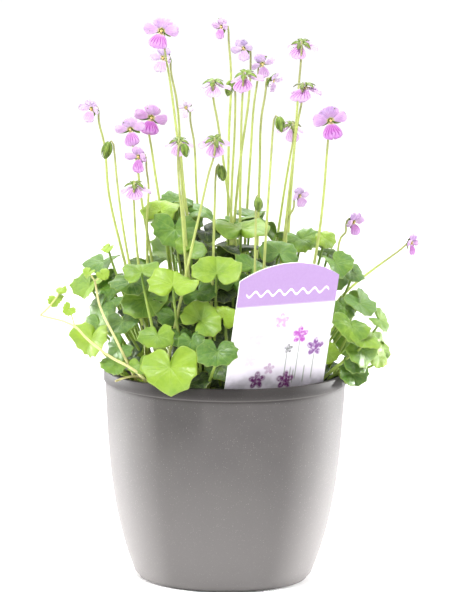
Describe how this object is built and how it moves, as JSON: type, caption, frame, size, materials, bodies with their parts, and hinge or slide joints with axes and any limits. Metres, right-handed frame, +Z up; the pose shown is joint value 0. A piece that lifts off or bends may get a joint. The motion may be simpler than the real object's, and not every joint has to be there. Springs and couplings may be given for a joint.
{
  "type": "potted violet",
  "caption": "Ivy-leaved violet with small nodding mauve flowers on thin stalks, growing in a tapered grey plant pot with a printed label stuck in the soil.",
  "frame": {"origin": "centre of the pot's flat underside", "axes": "+Z up along the pot's axis; -Y is the front, where the label faces; +X to the right seen from the front"},
  "size_m": [0.1857, 0.1419, 0.2811],
  "materials": {
    "pot_plastic": "satin moulded plastic, warm dark grey with fine pale flecks",
    "soil": "loose dark brown potting soil with grit and fibres",
    "label_card": "thin printed plastic card, lilac header over a pale flower picture, no wording",
    "leaf_green": "soft green leaf, lighter veins, slightly satin",
    "petal": "thin mauve petal, darker streaks in the lower one, near-white throat",
    "bud_green": "green sepals closed round the bud",
    "runner_stem": "pale yellow-green stem"
  },
  "bodies": {
    "root": {"pot": "pot_plastic", "potting_soil": "soil", "plant_label": "label_card", "flower_01": "petal", "flower_02": "petal", "flower_03": "petal", "flower_04": "petal", "flower_05": "petal", "flower_06": "petal", "flower_07": "petal", "flower_08": "petal", "flower_09": "petal", "flower_10": "petal", "flower_11": "petal", "flower_12": "petal", "flower_13": "petal", "flower_14": "petal", "flower_15": "petal", "flower_16": "petal", "flower_17": "petal", "flower_18": "petal", "flower_19": "petal", "flower_20": "petal", "flower_21": "petal", "flower_22": "petal", "flower_23": "petal", "bud_01": "bud_green", "bud_02": "bud_green", "bud_03": "bud_green", "bud_04": "bud_green", "bud_05": "bud_green", "bud_06": "bud_green", "leaf_01": "leaf_green", "leaf_02": "leaf_green", "leaf_03": "leaf_green", "leaf_04": "leaf_green", "leaf_05": "leaf_green", "leaf_06": "leaf_green", "leaf_07": "leaf_green", "leaf_08": "leaf_green", "leaf_09": "leaf_green", "leaf_10": "leaf_green", "leaf_11": "leaf_green", "leaf_12": "leaf_green", "leaf_13": "leaf_green", "leaf_14": "leaf_green", "leaf_15": "leaf_green", "leaf_16": "leaf_green", "leaf_17": "leaf_green", "leaf_18": "leaf_green", "leaf_19": "leaf_green", "leaf_20": "leaf_green", "leaf_21": "leaf_green", "leaf_22": "leaf_green", "leaf_23": "leaf_green", "leaf_24": "leaf_green", "leaf_25": "leaf_green", "leaf_26": "leaf_green", "leaf_27": "leaf_green", "runner": "runner_stem"}
  },
  "joints": []
}
